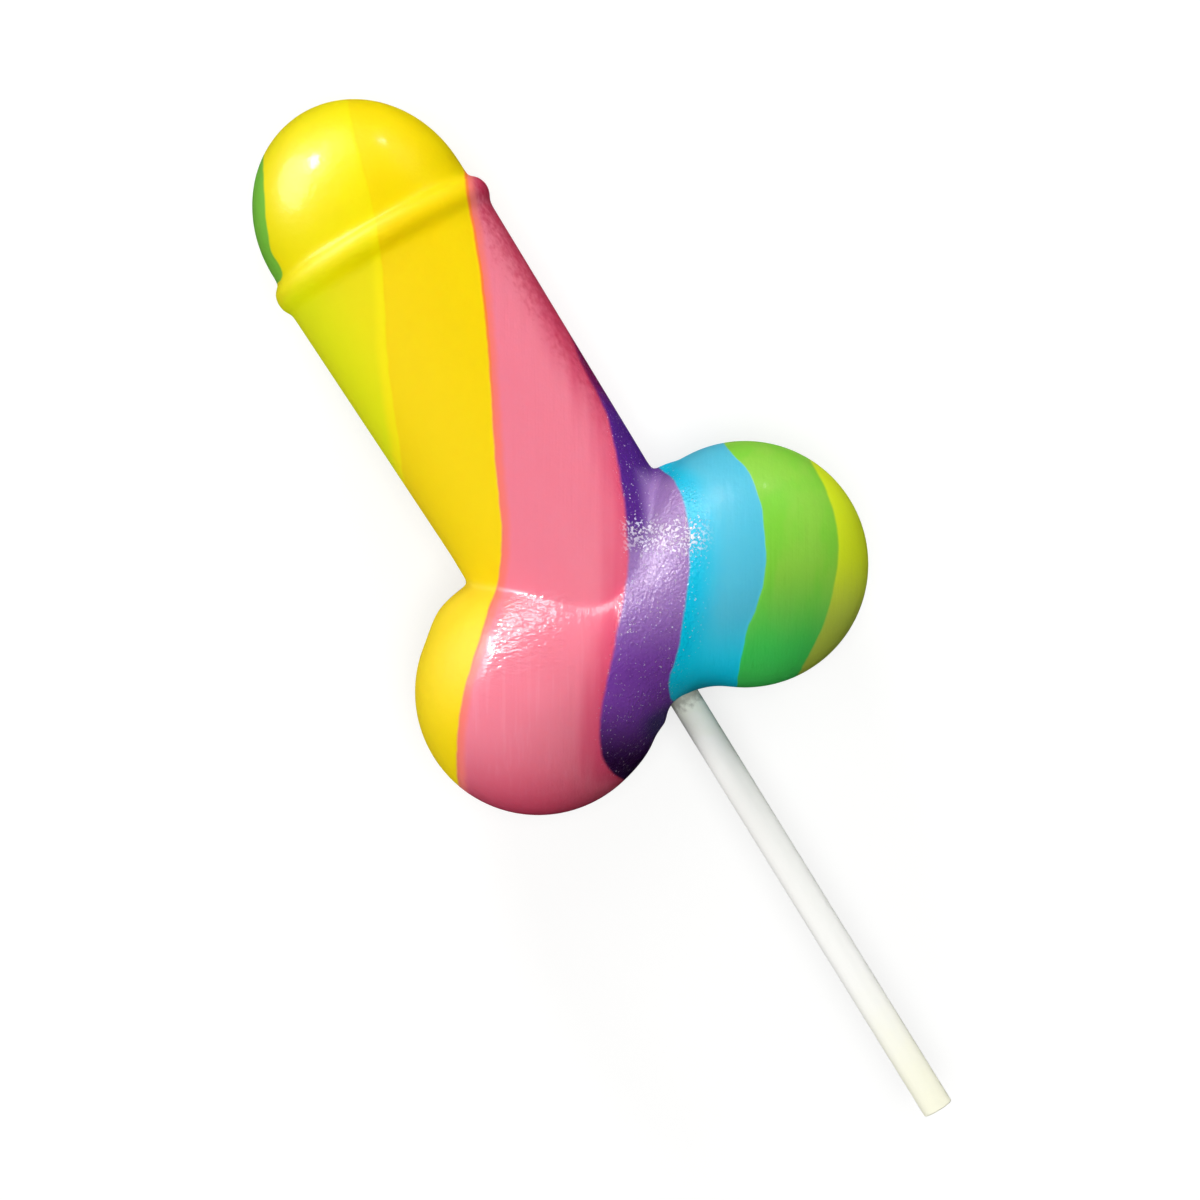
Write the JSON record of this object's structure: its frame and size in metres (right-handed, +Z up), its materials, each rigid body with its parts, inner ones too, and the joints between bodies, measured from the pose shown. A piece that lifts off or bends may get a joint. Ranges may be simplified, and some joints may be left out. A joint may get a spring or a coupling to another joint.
{
  "type": "penis lollipop",
  "caption": "Novelty hard candy lollipop: a domed shaft with a raised rim and round lobes, in upright rainbow layers, on a plain paper stick.",
  "frame": {"origin": "on the table, under the middle of the whole lollipop's bounding box", "axes": "+X runs from the candy's rounded tip to the stick's free end, +Y to the lobe with the lime edge, +Z up through the shown side"},
  "size_m": [0.1476, 0.0612, 0.0306],
  "materials": {
    "candy_grass": "glossy hard candy",
    "candy_lemon": "glossy hard candy",
    "candy_gold": "glossy hard candy",
    "candy_pink": "glossy hard candy",
    "candy_purple": "glossy hard candy",
    "candy_blue": "glossy hard candy",
    "candy_green": "glossy hard candy",
    "candy_lime": "glossy hard candy",
    "paper_stick": "matt rolled paper"
  },
  "bodies": {
    "root": {"layer_1_green": "candy_grass", "layer_2_lemon": "candy_lemon", "layer_3_gold": "candy_gold", "layer_4_pink": "candy_pink", "layer_5_purple": "candy_purple", "layer_6_blue": "candy_blue", "layer_7_green": "candy_green", "layer_8_lime": "candy_lime", "stick": "paper_stick"}
  },
  "joints": []
}
